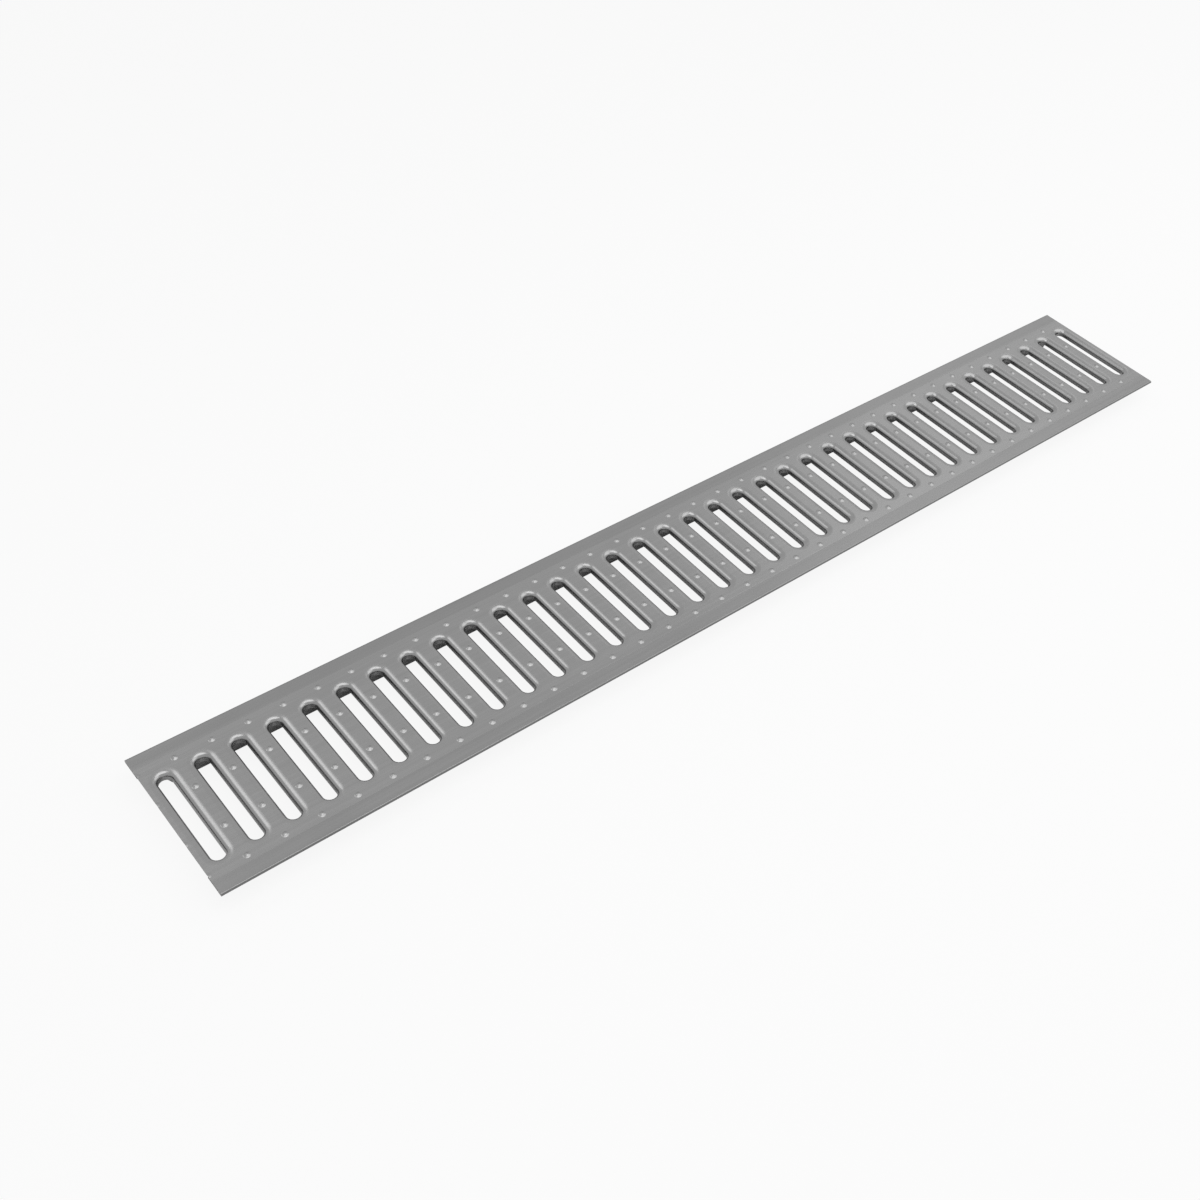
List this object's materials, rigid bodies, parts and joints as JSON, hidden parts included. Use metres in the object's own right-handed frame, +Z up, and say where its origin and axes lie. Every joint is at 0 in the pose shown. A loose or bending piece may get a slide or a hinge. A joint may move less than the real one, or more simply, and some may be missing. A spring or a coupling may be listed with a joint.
{
  "type": "channel drain grate",
  "caption": "Slotted cover grate for a drain channel, folded from galvanised steel sheet, with drawn slots, raised grip dimples, hemmed long edges and locating legs.",
  "frame": {"origin": "middle of the grate's length and width, in the plane of the legs' feet", "axes": "+X along the grate, +Y across it, +Z up, out of the channel"},
  "size_m": [1, 0.136, 0.0211],
  "materials": {
    "galvanised_sheet": "galvanised, satin"
  },
  "bodies": {
    "root": {"grate": "galvanised_sheet"}
  },
  "joints": []
}
